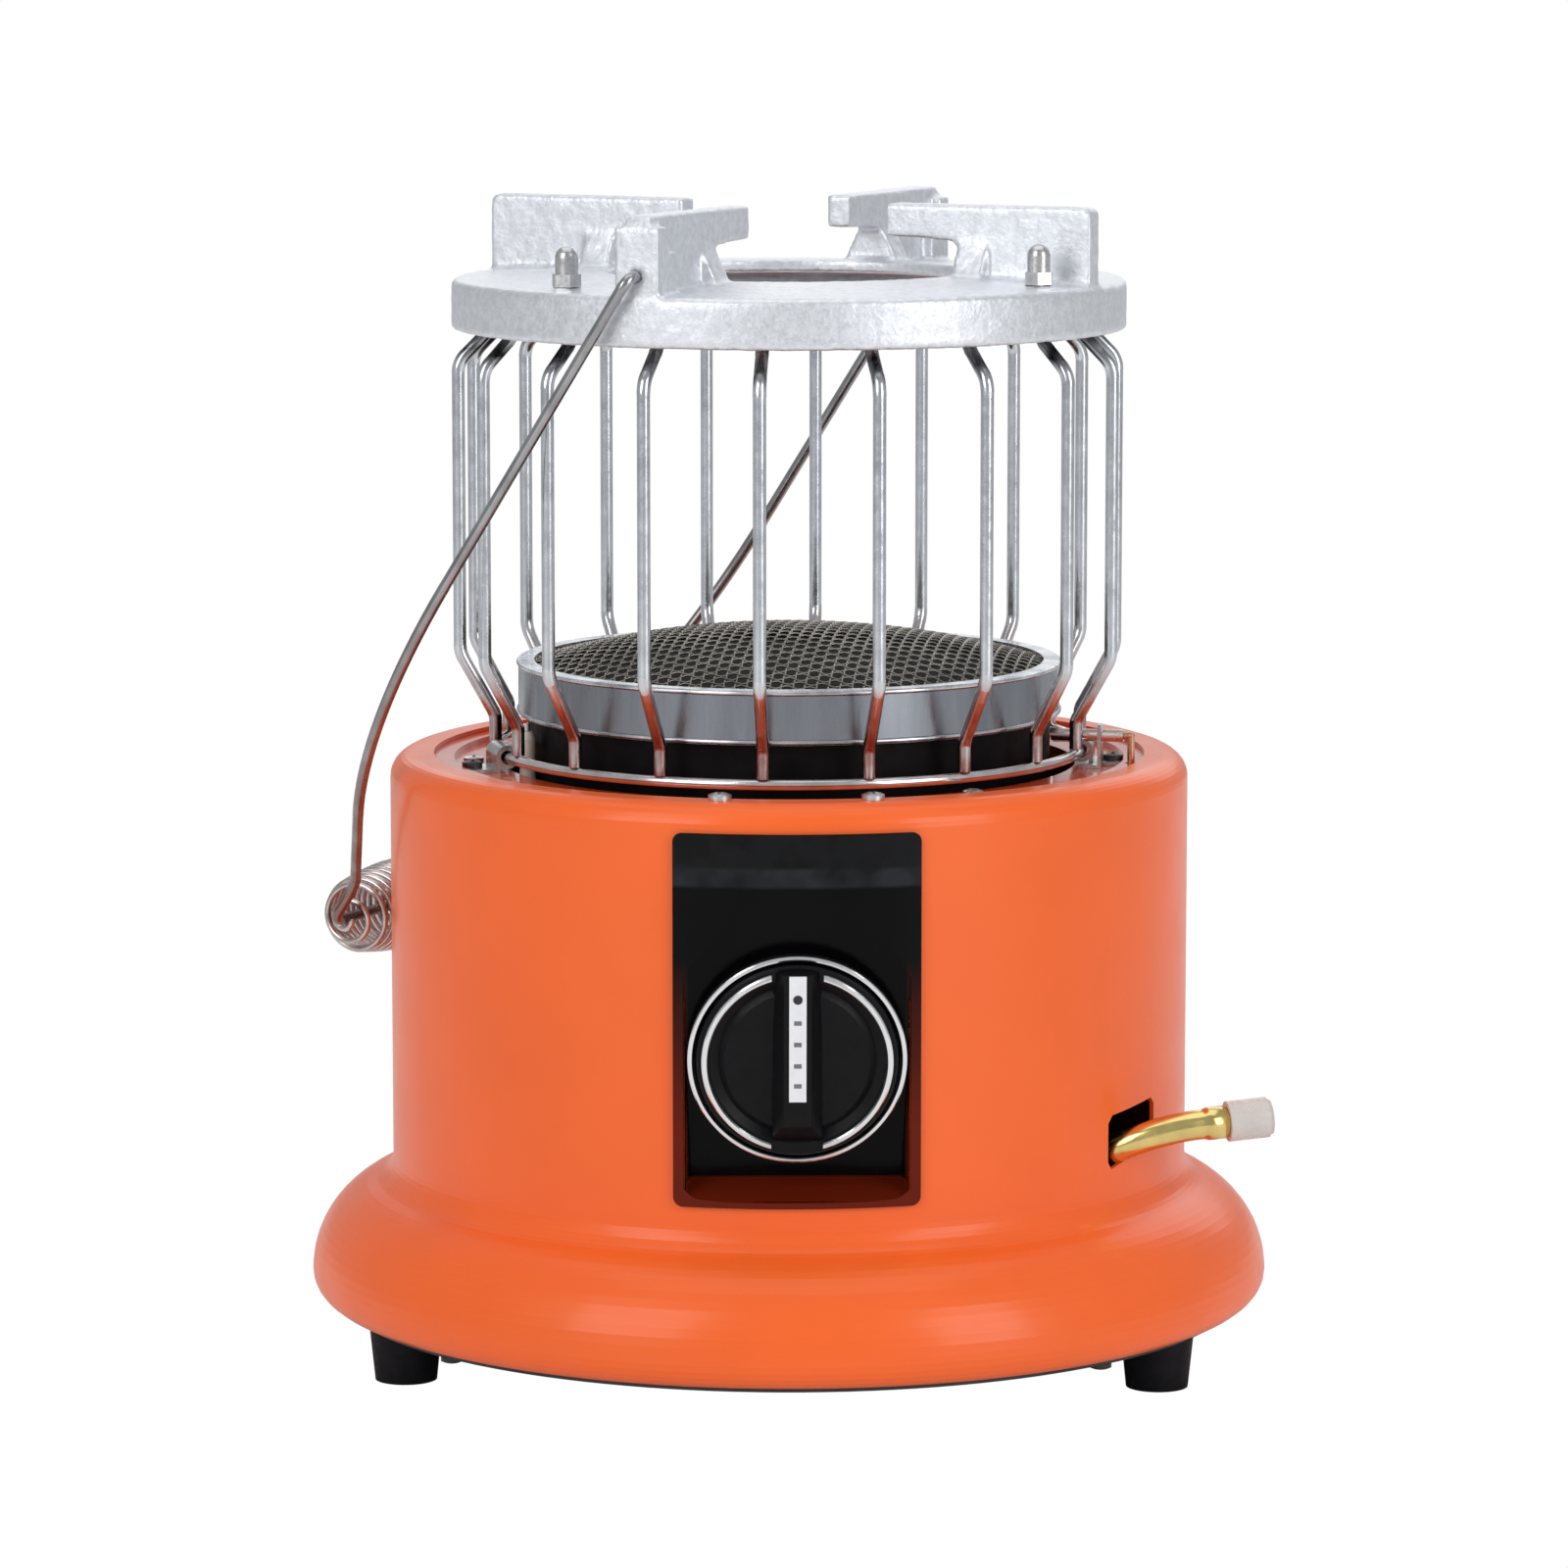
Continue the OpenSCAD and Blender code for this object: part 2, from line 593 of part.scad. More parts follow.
// ---- Ignition and flame guard ----
module piezo_igniter() {
    color("ivory") panel_frame() translate([piezo_x, 0, 0]) union() {
        translate([0, 0, -52]) cylinder(r = 5.2, h = 52 + valve_front - slip);
        translate([0, 0, piezo_end]) cylinder(r = 2.5, h = 7);
    }
}
module ignition_wire() {
    top = at_point(spark_az, spark_r, 146.15);
    color("dimgray") bar_path([from_panel(piezo_x, 0, piezo_end - slip), from_panel(piezo_x, 0, piezo_end - 8),
                               [-46, -29, 120], top - [0, 0, 14], top], 1.2);
}
module igniter_ceramic() {
    color("ivory") at_az(spark_az, spark_r, 146.2) difference() {
        union() {
            cylinder(r = 2.2, h = 26);
            translate([0, 0, 26]) cylinder(r1 = 2.2, r2 = 1.5, h = 2);
        }
        translate([0, 0, 20]) cylinder(r = 0.85, h = 10, $fn = 32);
    }
}
module igniter_pin() {
    color("silver") at_az(spark_az, spark_r, 167) cylinder(r = 0.75, h = 9.4, $fn = 32);
}
module electrode_bracket() {
    color("silver") at_az(spark_az, 0, 154) difference() {
        union() {
            translate([cup_r + 0.1, -5, -5]) cube([1, 10, 6]);
            translate([cup_r + 0.1, -5, 0]) cube([7.6, 10, 1]);
        }
        translate([spark_r, 0, -3]) cylinder(r = 2.2 + slip, h = 8);
    }
}
module thermocouple() {
    color("silver") at_az(thermo_az, 0, thermo_z) {
        translate([73.4, 0, 0]) rotate([0, 90, 0]) cylinder(r = 1.7, h = 20, $fn = 48);
    }
}
module thermocouple_bracket() {
    color("silver") at_az(thermo_az, 0, deck_z + slip) difference() {
        union() {
            translate([86.4, -2.4, 0]) cube([1, 4.8, thermo_z - deck_z + 3]);
            translate([83.6, -2.4, 0]) cube([3, 4.8, 1]);
        }
        translate([80, 0, thermo_z - deck_z - slip]) rotate([0, 90, 0])
            cylinder(r = 1.7 + slip, h = 10, $fn = 48);
    }
}
module thermocouple_lead() {
    valve_top = from_panel(8, 12, -24.5) + [0, 0, 0.25];
    color("peru") bar_path([at_point(thermo_az, 93.45, thermo_z), at_point(thermo_az, lead_r, thermo_z),
                            at_point(thermo_az, lead_r, 150), [88, -25, 136], [60, -42, 127],
                            [30, -66, 124], valve_top + [0, 0, 7], valve_top], 1);
}

// ---- Gas line ----
module inlet_nut() {
    color("goldenrod") panel_frame() translate([22 + slip, -4, -26]) rotate([0, 90, 0]) difference() {
        cylinder(r = 7, h = 7, $fn = 6);
        translate([0, 0, -1]) cylinder(r = nozzle_r + slip, h = 9);
    }
}
module inlet_pipe() {
    start = from_panel(22 + slip, -4, -26);
    root = nozzle_path[0];
    way = unit(nozzle_path[1] - root);
    color("goldenrod") difference() {
        bar_path([start, start + [20, 0, 0], root - 12 * way, root], nozzle_r);
        bar_path([start - [1, 0, 0], start + [20, 0, 0], root - 12 * way, root + way], nozzle_bore_r);
    }
}
module hose_nozzle() {
    p = nozzle_path;
    way = unit(p[1] - p[0]);
    color("gold") difference() {
        union() {
            bar_path([p[0] + slip * way, p[1], p[2], p[2] + (tail_s + 1) * nozzle_out], nozzle_r);
            bar(p[2] + tail_s * nozzle_out, p[2] + tail_end_s * nozzle_out, tail_r);
            bar(p[2] + (tail_end_s - 0.5) * nozzle_out, p[3], tip_r);
        }
        bar_path([p[0] - way, p[1], p[2], p[3] + nozzle_out], nozzle_bore_r);
    }
}
// Soft cap over the nozzle's end, drawn along its own axis from the inner edge
module nozzle_cap() {
    tip = nozzle_path[3];
    start = tip - (cap_l - 1.4) * nozzle_out;
    color("white") difference() {
        union() {
            bar(start, start + (cap_l - 1) * nozzle_out, 5.45);
            bar(start + (cap_l - 1.1) * nozzle_out, start + cap_l * nozzle_out, 4.7);
        }
        bar(start - nozzle_out, tip + slip * nozzle_out, tip_r + slip);
    }
}
module injector_jet() {
    color("gold") panel_frame() translate([0, jet_y, 0]) difference() {
        union() {
            translate([0, 0, valve_back - 9]) cylinder(r = 4.6, h = 5 - slip, $fn = 6);
            translate([0, 0, valve_back - 15]) cylinder(r1 = 1.8, r2 = 3.4, h = 6.1);
            translate([0, 0, valve_back - 4.1]) cylinder(r = 2.4, h = 7, $fn = 32);
        }
        translate([0, 0, valve_back - 16]) cylinder(r = 0.6, h = 22, $fn = 24);
    }
}
module tube_body(r, ends) {
    panel_frame() translate([0, jet_y, -tube_s - 1]) cylinder(r = r, h = tube_s + valve_back - 10 + ends);
    translate([0, elbow_y, elbow_z]) rotate([90, 0, 90]) rotate([0, 0, panel_tilt - 90])
        rotate_extrude(angle = 90 - panel_tilt, $fn = 96) translate([elbow_r, 0])
            circle(r = r + 0.4);
    translate([0, elbow_y + elbow_r, elbow_z - 1]) cylinder(r = r, h = cup_floor_z + 4 - elbow_z + ends);
}
module mixing_tube() {
    color("silver") difference() {
        union() {
            tube_body(tube_r, 0);
            panel_frame() translate([0, jet_y, valve_back - 19])
                cylinder(r1 = tube_r, r2 = tube_r + 3.5, h = 8);
        }
        tube_body(tube_r - 1.5, 1);
        panel_frame() translate([0, jet_y, valve_back - 19])
            cylinder(r1 = tube_r - 1.5, r2 = tube_r + 2.2, h = 8.1);
    }
}

// ---- Burner ----
module burner_cup() {
    wall = 1.2;
    color([0.12, 0.12, 0.12]) rotate_extrude($fn = 144) polygon([
        [tube_r + slip, cup_floor_z], [cup_r - 10, cup_floor_z], [cup_r, cup_floor_z + 8],
        [cup_r, ledge_z - wall], [cup_r + 1, ledge_z - wall], [cup_r + 1, ledge_z],
        [cup_r - 12, ledge_z], [cup_r - 12, ledge_z - wall], [cup_r - wall, ledge_z - wall],
        [cup_r - wall, cup_floor_z + 8.5], [cup_r - 10.5, cup_floor_z + wall],
        [tube_r + slip, cup_floor_z + wall]]);
}
module burner_brackets() {
    color("silver") for (a = bracket_az) at_az(a, 0, 0) difference() {
        union() {
            translate([cup_r + 0.1, -6, 150]) cube([1.2, 12, 9]);
            translate([cup_r + 0.1, -6, 150]) cube([12, 12, 1.2]);
            translate([cup_r + 10.9, -6, 150]) cube([1.2, 12, deck_z - sheet - slip - 150]);
            translate([cup_r + 10.9, -6, deck_z - sheet - slip - 1.2]) cube([8, 12, 1.2]);
        }
        translate([bracket_screw_r, 0, 155]) cylinder(r = 1.3, h = 10, $fn = 32);
    }
}
module burner_bracket_screws() {
    color("silver") for (a = bracket_az) at_az(a, bracket_screw_r, deck_z + slip)
        pan_screw(2.8, 2, 1.25, 5);
}
module burner_rim() {
    bead = 0.7;
    color("silver") rotate_extrude($fn = 144) {
        translate([cup_r + 1.2, rim_low_z]) square([rim_r - cup_r - 1.2, rim_top_z - rim_low_z]);
        translate([rim_r - 0.2, rim_low_z + bead]) circle(r = bead, $fn = 24);
        translate([rim_r - 0.2, rim_top_z - bead]) circle(r = bead, $fn = 24);
        translate([cup_r - 1.8, rim_top_z - 1]) square([4, 1]);
    }
}
module ceramic_plaque() {
    color("tan") translate([0, 0, ledge_z + slip]) cylinder(r = 66, h = 10.4, $fn = 128);
}
module plaque_gasket() {
    color("white") translate([0, 0, ledge_z + slip]) difference() {
        cylinder(r = cup_r + 1, h = 10.4, $fn = 128);
        translate([0, 0, -1]) cylinder(r = 66.2, h = 13, $fn = 128);
    }
}
// Wire cloth as one thin domed disc
module burner_mesh() {
    r = cup_r + 0.8;
    low = ledge_z + 10.5;
    thick = 0.7;
    dome = (r * r + mesh_rise * mesh_rise) / (2 * mesh_rise);
    color([0.2, 0.2, 0.2]) intersection() {
        translate([0, 0, low + mesh_rise - dome]) difference() {
            sphere(r = dome + thick, $fn = 96);
            sphere(r = dome, $fn = 96);
        }
        translate([0, 0, low]) cylinder(r = cup_r + 0.7, h = 20);
    }
}

// ---- Wire guard ----
module guard_wire() {
    bent_wire([[guard_foot_r, guard_foot_z + bail_wire_r + slip], [guard_foot_r, 176.6],
               [guard_r, 194], [guard_r, 273.6], [guard_head_r, 282.4],
               [guard_head_r, guard_top_z - slip]],
              [0, 5, 8, 7, 5, 0], guard_wire_r);
}
module guard_wires() {
    color("silver") for (k = [0:guard_count - 1])
        at_az(guard_first_az + k * 360 / guard_count) guard_wire();
}
module guard_base_ring() {
    color("silver") translate([0, 0, guard_foot_z]) rotate_extrude($fn = 144)
        translate([guard_foot_r, 0]) circle(r = bail_wire_r, $fn = 32);
}
module guard_top_ring() {
    color("silver") translate([0, 0, guard_top_z]) difference() {
        ring(guard_head_r - 4, guard_head_r + 4, boss_low_z - slip - guard_top_z);
        for (a = stud_az) at_az(a, guard_head_r, -1) cylinder(r = 2 + slip, h = 5, $fn = 32);
    }
}
module guard_studs() {
    color("silver") for (a = stud_az) at_az(a, guard_head_r, guard_top_z + slip)
        cylinder(r = 2, h = 15.4, $fn = 32);
}
module acorn_nuts() {
    color("silver") for (a = stud_az) at_az(a, guard_head_r, cast_top_z + 1.0) difference() {
        union() {
            cylinder(r = 4.04, h = 3.4, $fn = 6);
            translate([0, 0, 3.3]) cylinder(r = 3.1, h = 4.4, $fn = 32);
            translate([0, 0, 7.7]) sphere(r = 3.1, $fn = 32);
        }
        translate([0, 0, -1]) cylinder(r = 2 + slip, h = 8, $fn = 32);
    }
}
// Sheet clip: foot on the deck and a curl over the guard's base ring
module guard_clip(a) {
    curl_r = 3.2;
    color("silver") at_az(a, 0, deck_z + slip) difference() {
        union() {
            translate([guard_foot_r + 2.1, -6.5, 0]) cube([8.9, 13, 1]);
            translate([guard_foot_r, -6.5, guard_foot_z - deck_z]) rotate([-90, 0, 0])
                cylinder(r = curl_r, h = 13, $fn = 48);
            translate([guard_foot_r + 2.1, -6.5, 0]) cube([1.1, 13, 4]);
            translate([guard_foot_r - 8, -3, guard_foot_z - deck_z + 1.9]) cube([8, 5.5, 1]);
        }
        translate([guard_foot_r, -8, guard_foot_z - deck_z]) rotate([-90, 0, 0])
            cylinder(r = 1.95, h = 16, $fn = 48);
        translate([clip_screw_r, 0, -1]) cylinder(r = 1.6, h = 4, $fn = 32);
    }
}
module guard_clip_left() { guard_clip(clip_az[0]); }
module guard_clip_right() { guard_clip(clip_az[1]); }
module guard_clip_rear() { guard_clip(clip_az[2]); }
module guard_clip_screws() {
    color("silver") for (a = clip_az) at_az(a, clip_screw_r, deck_z + 1 + 2 * slip) pan_screw(2.8, 2, 1.5, 6);
}

// ---- Pan support ----
module fin_side(tip_r) {
    // radius and height of the fin's outline
    polygon(concat(
        [[tip_r, fin_top_z], [tip_r, 308.4], [50, 307.6], [54, 304], [57, cast_top_z],
         [cast_r - 1.4, cast_top_z - 2]],
        arc([cast_r - 4, fin_top_z - 2.6], 2.6, 0, 90, 4)));
}
module fin(pivot) {
    rotate([90, 0, 0]) translate([0, 0, -3.5]) linear_extrude(7) fin_side(31);
    // flared foot under the arm
    translate([52, 0, 0]) rotate([90, 0, 90]) linear_extrude(9)
        polygon([[-9, cast_top_z], [-3.4, 308], [3.4, 308], [9, cast_top_z]]);
    if (pivot) translate([80, -6.5, cast_top_z - 2]) cube([cast_r - 80.4, 13, 13.5]);
    if (pivot) translate([cast_r - 7, -6.5, cast_top_z - 2])
        cube([6.6, 13, fin_top_z - cast_top_z - 1]);
}
module pan_support() {
    color("silver") difference() {
        union() {
            rotate_extrude($fn = 144) polygon([
                [cast_r - 3, cast_low_z], [cast_r, cast_low_z], [cast_r, cast_top_z - 1.2],
                [cast_r - 1.2, cast_top_z], [cast_hole_r, cast_top_z + 2], [cast_hole_r, 294.6],
                [cast_r - 5, 292.8], [cast_r - 3, 291.4]]);
            for (k = [0:3]) at_az(fin_az + 90 * k) fin(k % 2 == 0);
            for (a = stud_az) at_az(a, guard_head_r, boss_low_z)
                cylinder(r = 4.2, h = cast_top_z + 0.9 - boss_low_z, $fn = 48);
        }
        for (a = stud_az) at_az(a, guard_head_r, 280) cylinder(r = 2.3, h = 30, $fn = 32);
        // blind holes for the bail's ends
        for (k = [0, 2]) at_az(fin_az + 90 * k) translate([78, 0, pivot_z]) rotate([0, 90, 0])
            cylinder(r = bail_wire_r + 0.08, h = 20, $fn = 48);
    }
}

// ---- Bail handle ----
module bail_wire() {
    slope = 42;                                // of the arms where they draw in to the grip
    sweep_r = 122;
    bend_v = 100 + sweep_r * tan(slope / 2);
    knee_v = bend_v + (bail_half - bail_knee) / tan(slope);
    arm = [[79, 0], [bail_half, 0], [bail_half, bend_v], [bail_knee, knee_v],
           [bail_knee, bail_reach]];
    other = [for (i = [len(arm) - 1:-1:0]) [-arm[i].x, arm[i].y]];
    color("silver") bail_frame() bent_wire(concat(arm, other),
        [0, 3.5, sweep_r, 10, 4.5, 4.5, 10, sweep_r, 3.5, 0], bail_wire_r);
}
// Barrel-shaped coil of spring wire that turns on the bail's straight end
module grip_coil() {
    steps = 15;
    n = grip_turns * steps;
    half = 32.4;
    wire_r = 0.9;
    end_r = bail_wire_r + wire_r + 0.2;
    function coil_r(u) = let (s = min(1, min(u, 1 - u) * 9))
        end_r + (grip_r - end_r) * (0.62 * s * s * (3 - 2 * s) + 0.38 * sin(180 * u));
    color("silver") bail_frame() translate([0, 0, bail_reach]) rotate([0, 90, 0]) coil(
        [for (i = [0:n]) let (u = i / n, a = 360 * i / steps)
            [coil_r(u) * cos(a), coil_r(u) * sin(a), -half + 2 * half * u]], wire_r, 6);
}

housing_shell();
top_deck();
color("silver") deck_screws();
base_plate();
color("silver") base_screws();
foot_front_left();
foot_front_right();
foot_rear_left();
foot_rear_right();
foot_screws();
foot_nuts();
control_bezel();
dial_ring();
valve_bracket();
bracket_screws();
gas_valve_body();
valve_cover();
valve_screws();
valve_plug();
knob_spindle();
knob_return_spring();
knob_body();
knob_trim_ring();
knob_pointer();
piezo_igniter();
ignition_wire();
igniter_ceramic();
igniter_pin();
electrode_bracket();
thermocouple();
thermocouple_bracket();
thermocouple_lead();
inlet_nut();
inlet_pipe();
hose_nozzle();
nozzle_cap();
injector_jet();
mixing_tube();
burner_cup();
burner_brackets();
burner_bracket_screws();
burner_rim();
ceramic_plaque();
plaque_gasket();
burner_mesh();
guard_wires();
guard_base_ring();
guard_top_ring();
guard_clip_left();
guard_clip_right();
guard_clip_rear();
guard_clip_screws();
guard_studs();
pan_support();
acorn_nuts();
bail_wire();
grip_coil();
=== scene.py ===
"""Looks of the portable gas heater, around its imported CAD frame."""
import json
import math

import bmesh
import bpy
from mathutils import Matrix, Vector


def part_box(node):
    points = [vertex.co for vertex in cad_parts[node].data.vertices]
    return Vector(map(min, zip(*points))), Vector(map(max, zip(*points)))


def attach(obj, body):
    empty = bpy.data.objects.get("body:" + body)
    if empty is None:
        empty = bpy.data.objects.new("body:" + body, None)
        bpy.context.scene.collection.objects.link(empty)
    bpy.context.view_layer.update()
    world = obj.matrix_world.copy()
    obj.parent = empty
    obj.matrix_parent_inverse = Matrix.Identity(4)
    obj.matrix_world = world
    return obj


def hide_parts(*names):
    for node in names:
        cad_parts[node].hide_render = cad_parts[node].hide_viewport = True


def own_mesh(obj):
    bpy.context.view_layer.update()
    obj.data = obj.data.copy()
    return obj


MM = 0.001

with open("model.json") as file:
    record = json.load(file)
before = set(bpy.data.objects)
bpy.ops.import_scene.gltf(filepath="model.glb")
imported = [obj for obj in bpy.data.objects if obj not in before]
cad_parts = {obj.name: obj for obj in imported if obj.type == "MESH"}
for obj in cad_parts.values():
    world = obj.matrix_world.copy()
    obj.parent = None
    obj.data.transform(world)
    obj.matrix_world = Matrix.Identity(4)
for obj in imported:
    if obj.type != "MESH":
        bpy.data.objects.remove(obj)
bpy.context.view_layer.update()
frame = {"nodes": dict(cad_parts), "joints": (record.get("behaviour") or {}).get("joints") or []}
nodes = frame["nodes"]


# ---------------------------------------------------------------- shader nodes
class Graph:
    """Short names for the nodes that a finish is made of, all in object space."""

    def __init__(self, tree, stretch):
        self.tree = tree
        self.place = self.node("TexCoord").outputs["Object"]
        mapping = self.node("Mapping")
        mapping.inputs["Scale"].default_value = stretch
        self.link(self.place, mapping.inputs["Vector"])
        self.stretched = mapping.outputs["Vector"]

    def node(self, kind):
        return self.tree.nodes.new("ShaderNode" + kind)

    def link(self, source, socket):
        self.tree.links.new(source, socket)

    def noise(self, size, detail):
        n = self.node("TexNoise")
        n.inputs["Scale"].default_value = size
        n.inputs["Detail"].default_value = detail
        self.link(self.stretched, n.inputs["Vector"])
        return n.outputs["Fac"]

    def ranged(self, source, a, b, low, high):
        """The source's span from a to b, clamped and laid over the span from low to high."""
        r = self.node("MapRange")
        for key, value in (("From Min", a), ("From Max", b), ("To Min", low), ("To Max", high)):
            r.inputs[key].default_value = value
        self.link(source, r.inputs["Value"])
        return r.outputs["Result"]

    def mix(self, factor, first, other):
        """The first colour where the factor is 0 and the other where it is 1, each a tuple or a socket."""
        x = self.node("Mix")
        x.data_type = "RGBA"
        self.link(factor, x.inputs[0])
        for socket, value in ((x.inputs[6], first), (x.inputs[7], other)):
            if isinstance(value, tuple):
                socket.default_value = (*value, 1)
            else:
                self.link(value, socket)
        return x.outputs[2]

    def calc(self, operation, *sources):
        n = self.node("Math")
        n.operation = operation
        for source, socket in zip(sources, n.inputs):
            self.link(source, socket)
        return n.outputs[0]

    def along(self, axis):
        split = self.node("SeparateXYZ")
        self.link(self.place, split.inputs[0])
        return split.outputs[axis]

    def change_with_height(self, tone, tint, z0, z1):
        """The tone, which turns unevenly to the tint between the heights z0 and z1."""
        patches = self.ranged(self.noise(90, 2), 0.35, 0.6, 0.35, 1)
        height = self.ranged(self.along("Z"), z0, z1, 0, 1)
        return self.mix(self.calc("MULTIPLY", height, patches), tone, tint)

    def change_at_sides(self, tone, tint, half_width, low_z, limit):
        """The tone, with the tint outside the half width and under low_z, fading in below the limit."""
        side_edge, low_edge, fade = 0.8 * MM, 1 * MM, 45 * MM
        wide = self.ranged(self.calc("ABSOLUTE", self.along("X")), half_width, half_width + side_edge, 0, 1)
        low_part = self.ranged(self.along("Z"), low_z, low_z - low_edge, 0, 1)
        below = self.ranged(self.along("Z"), limit, limit - fade, 0, 1)
        return self.mix(self.calc("MULTIPLY", self.calc("MAXIMUM", wide, low_part), below), tone, tint)


# ---------------------------------------------------------------- materials
def build(name, color, rough, metal=0.0, grain=0.1, grain_scale=300, bump=0.1, bump_scale=900,
          depth=0.05, rough_spread=0.08, stretch=(1, 1, 1), tints=(), sides=None, **sockets):
    """A shader with clouded colour, uneven roughness and a fine relief, depth mm deep.
    tints are (colour, from z, to z) and sides is (colour, half width, low z, limit), in metres.
    sockets are values for the shader's other inputs, with _ for each space."""
    m = bpy.data.materials.new(name)
    m.use_nodes = True
    shader = m.node_tree.nodes["Principled BSDF"]
    shader.inputs["Metallic"].default_value = metal
    for key, value in sockets.items():
        shader.inputs[key.replace("_", " ")].default_value = value

    g = Graph(m.node_tree, stretch)
    pale, deep = (tuple(min(1, c * k) for c in color) for k in (1 + grain, 1 - grain))
    tone = g.mix(g.ranged(g.noise(grain_scale, 4), 0.3, 0.7, 0, 1), deep, pale)
    for tint in tints:
        tone = g.change_with_height(tone, *tint)
    if sides:
        tone = g.change_at_sides(tone, *sides)
    g.link(tone, shader.inputs["Base Color"])

    smoothest, finest_scale = 0.02, 2.2 * grain_scale
    g.link(g.ranged(g.noise(finest_scale, 3), 0.3, 0.7, max(smoothest, rough - rough_spread),
                    rough + rough_spread), shader.inputs["Roughness"])
    relief = g.node("Bump")
    relief.inputs["Strength"].default_value = bump
    relief.inputs["Distance"].default_value = depth * MM
    g.link(g.noise(bump_scale, 5), relief.inputs["Height"])
    g.link(relief.outputs["Normal"], shader.inputs["Normal"])
    return m


paint = build("orange_enamel", (0.96, 0.142, 0.020), 0.34, grain=0.03, grain_scale=25, bump=0.10,
              bump_scale=700, depth=0.03, rough_spread=0.04, Specular_IOR_Level=0.30,
              Coat_Weight=0.22, Coat_Roughness=0.15)
deck_paint = build("deck_enamel", (0.88, 0.115, 0.018), 0.18, grain=0.05, grain_scale=40, bump=0.1,
                   bump_scale=500, depth=0.03, rough_spread=0.04, Coat_Weight=0.6,
                   Coat_Roughness=0.06)
black_cup = build("heatproof_black", (0.006, 0.005, 0.006), 0.5, grain=0.4, grain_scale=120,
                  bump=0.3, bump_scale=1800, Specular_IOR_Level=0.08)
plate_black = build("plate_black", (0.02, 0.02, 0.02), 0.45, grain=0.3, grain_scale=90, bump=0.2)
# Painted highlights: a grey band along the panel's crease, and the panel a little greyer above it than
# below; the frame's sides and lower ledge are red-brown low down, a painted reflection of the orange enamel
gloss_black = build("bezel_plastic", (0.0015, 0.0015, 0.002), 0.20, grain=0.2, grain_scale=60,
                    bump=0.05, bump_scale=1200, rough_spread=0.04, Specular_IOR_Level=0.10,
                    tints=[((0.022, 0.023, 0.027), 0.1440, 0.1450),
                           ((0.006, 0.006, 0.006), 0.1490, 0.1500)],
                    sides=((0.13, 0.012, 0.003), 28.4 * MM, 66 * MM, 0.125))
knob_black = build("knob_plastic", (0.004, 0.004, 0.005), 0.36, grain=0.2, grain_scale=200,
                   bump=0.12, bump_scale=2500, rough_spread=0.05, Specular_IOR_Level=0.16)
knob_chrome = build("knob_chrome", (0.86, 0.87, 0.88), 0.16, 1.0, grain=0.03, bump=0.03,
                    rough_spread=0.04)
# Painted light on the wires: a red painted reflection of the enamel near their lower ends, and painted
# shade darkening their upper ends under the casting
wire_chrome = build("wire_chrome", (0.70, 0.72, 0.75), 0.20, 1.0, grain=0.12, grain_scale=180,
                    bump=0.2, bump_scale=1500, rough_spread=0.08,
                    tints=[((0.36, 0.20, 0.17), 0.197, 0.180),
                           ((0.015, 0.015, 0.017), 0.2735, 0.2775)])
ring_chrome = build("ring_chrome", (0.74, 0.70, 0.70), 0.18, 1.0, grain=0.15, grain_scale=150,
                    bump=0.2, bump_scale=1500)
# The bail turns brown towards its lower end, a painted reflection of the orange enamel
bail_chrome = build("bail_chrome", (0.40, 0.40, 0.41), 0.22, 1.0, grain=0.2, grain_scale=120,
                    bump=0.25, bump_scale=1400, tints=[((0.28, 0.18, 0.16), 0.24, 0.13)])
coil_chrome = build("coil_chrome", (0.58, 0.50, 0.48), 0.22, 1.0, grain=0.25, grain_scale=220,
                    bump=0.2, bump_scale=1800)
zinc = build("zinc_plate", (0.62, 0.62, 0.62), 0.30, 1.0, grain=0.15, grain_scale=400, bump=0.25,
             bump_scale=1800)
clip_steel = build("clip_steel", (0.50, 0.51, 0.50), 0.28, 1.0, grain=0.3, grain_scale=260, bump=0.3,
                   bump_scale=1200)
dark_screw = build("dark_screw", (0.10, 0.09, 0.09), 0.35, 1.0, grain=0.3, grain_scale=400, bump=0.3)
# The rim's band is streaked upright, with painted highlights along its lip and its lower edge
rim_steel = build("rim_steel", (0.27, 0.285, 0.315), 0.26, 1.0, grain=0.10, grain_scale=160,
                  bump=0.25, bump_scale=900, depth=0.03, stretch=(1, 1, 0.12),
                  tints=[((0.80, 0.82, 0.86), 0.1902, 0.1906),
                         ((0.70, 0.72, 0.76), 0.1784, 0.1781)])
cast = build("cast_aluminium", (0.80, 0.82, 0.86), 0.45, 0.8, grain=0.09, grain_scale=520, bump=0.5,
             bump_scale=900, depth=0.25, rough_spread=0.12)
rubber = build("rubber", (0.006, 0.006, 0.008), 0.55, grain=0.3, grain_scale=200, bump=0.3,
               bump_scale=1600, rough_spread=0.1, Specular_IOR_Level=0.15)
brass = build("brass", (0.80, 0.64, 0.24), 0.20, 1.0, grain=0.12, grain_scale=140, bump=0.2,
              bump_scale=900)
copper = build("copper", (0.66, 0.36, 0.22), 0.3, 1.0, grain=0.15, grain_scale=200, bump=0.2)
white_plastic = build("pointer_white", (0.84, 0.85, 0.88), 0.35, grain=0.03, bump=0.08)
ink = build("pointer_ink", (0.02, 0.02, 0.025), 0.5, grain=0.2, bump=0.1)
grey_ink = build("pointer_grey_ink", (0.16, 0.17, 0.19), 0.5, grain=0.2, bump=0.1)
soft_cap = build("soft_cap", (0.88, 0.84, 0.80), 0.25, grain=0.04, grain_scale=120, bump=0.15,
                 bump_scale=700, rough_spread=0.08, Transmission_Weight=0.35, IOR=1.45)
ceramic = build("electrode_ceramic", (0.86, 0.80, 0.72), 0.35, grain=0.12, grain_scale=150, bump=0.2)
sensor = build("sensor_steel", (0.78, 0.66, 0.62), 0.3, 1.0, grain=0.12, grain_scale=220, bump=0.2)
